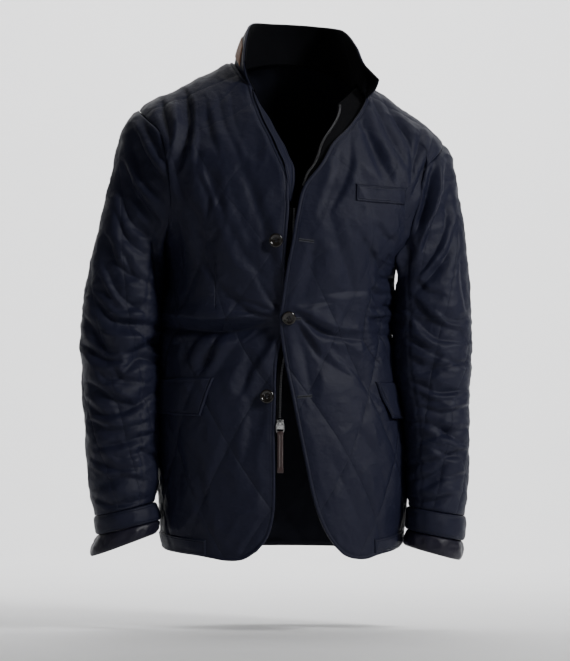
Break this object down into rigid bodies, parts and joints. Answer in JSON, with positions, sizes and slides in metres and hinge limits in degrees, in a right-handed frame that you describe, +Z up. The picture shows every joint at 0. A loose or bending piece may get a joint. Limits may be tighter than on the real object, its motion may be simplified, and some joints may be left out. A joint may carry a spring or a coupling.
{
  "type": "quilted sport coat",
  "caption": "Worn padded sport coat with a quilted navy shell, stand collar, inner zip front, buttons, flap pockets and banded cuffs",
  "frame": {"origin": "the middle of the neck base, where the coat rests when worn", "axes": "+X to the coat's own left side, +Y to the coat's back, +Z up; the coat faces -Y"},
  "size_m": [0.5947, 0.2999, 0.819],
  "materials": {
    "coat_cloth": "deep navy quilted cotton cloth with a soft sheen",
    "cuff_lining": "purple-navy smooth nylon",
    "black_pile": "black short-pile corduroy",
    "black_tape": "black woven zip tape",
    "tan_suede": "tan suede",
    "braided_leather": "brown-purple braided leather",
    "bright_metal": "bright silver metal",
    "dark_teeth": "dark metal zip teeth",
    "dark_horn": "dark horn, polished"
  },
  "bodies": {
    "coat": {"back": "coat_cloth", "breast_welt": "coat_cloth", "collar_patch": "tan_suede", "left_cuff_band": "coat_cloth", "left_flap": "coat_cloth", "left_front": "coat_cloth", "left_hem_tab": "coat_cloth", "left_inner_cuff": "cuff_lining", "left_placket": "black_tape", "left_top_sleeve": "coat_cloth", "left_under_sleeve": "coat_cloth", "left_zip_teeth": "dark_teeth", "low_button": "dark_horn", "middle_button": "dark_horn", "right_cuff_band": "coat_cloth", "right_facing": "coat_cloth", "right_flap": "coat_cloth", "right_front": "coat_cloth", "right_hem_tab": "coat_cloth", "right_inner_cuff": "cuff_lining", "right_top_sleeve": "coat_cloth", "right_under_sleeve": "coat_cloth", "top_button": "dark_horn", "top_collar": "black_pile", "under_collar": "coat_cloth", "zip_slider": "bright_metal", "zip_tape": "black_tape", "zip_teeth": "dark_teeth"},
    "pull": {"zip_pull": "bright_metal", "leather_pull": "braided_leather"}
  },
  "joints": [
    {"name": "pull_swing", "type": "hinge", "parent": "coat", "child": "pull", "pos_m": [-0.01468, -0.13748, -0.52], "axis": [-1, 0, 0], "range_deg": [0, 100]}
  ]
}
